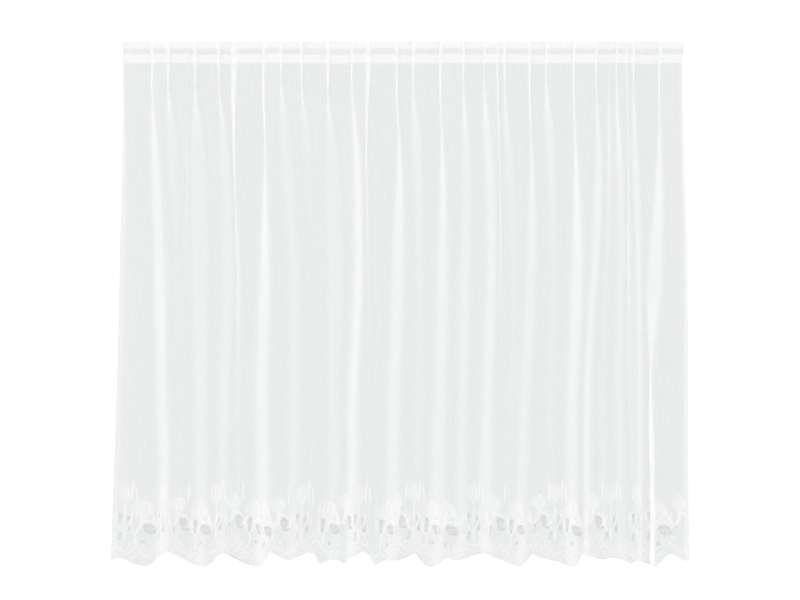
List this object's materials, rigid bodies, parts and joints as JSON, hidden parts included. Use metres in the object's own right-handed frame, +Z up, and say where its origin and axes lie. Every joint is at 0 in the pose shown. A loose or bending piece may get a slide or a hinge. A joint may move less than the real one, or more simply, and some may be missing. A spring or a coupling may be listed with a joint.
{
  "type": "lace curtain",
  "caption": "Short sheer white net curtain with a gathered heading tape, soft uneven folds and a scalloped lace border of flowers along its hem.",
  "frame": {"origin": "middle of the curtain's width at its top edge, halfway between the foremost and rearmost pleat", "axes": "+X to the right as seen from the front, +Y to the back, +Z up; the curtain hangs down along -Z and its front faces -Y"},
  "size_m": [1.5927, 0.1001, 1.455],
  "materials": {
    "white_lace": "sheer woven net, matt",
    "white_tape": "woven tape, matt"
  },
  "bodies": {
    "root": {"curtain_panel": "white_lace", "heading_tape": "white_tape"}
  },
  "joints": []
}
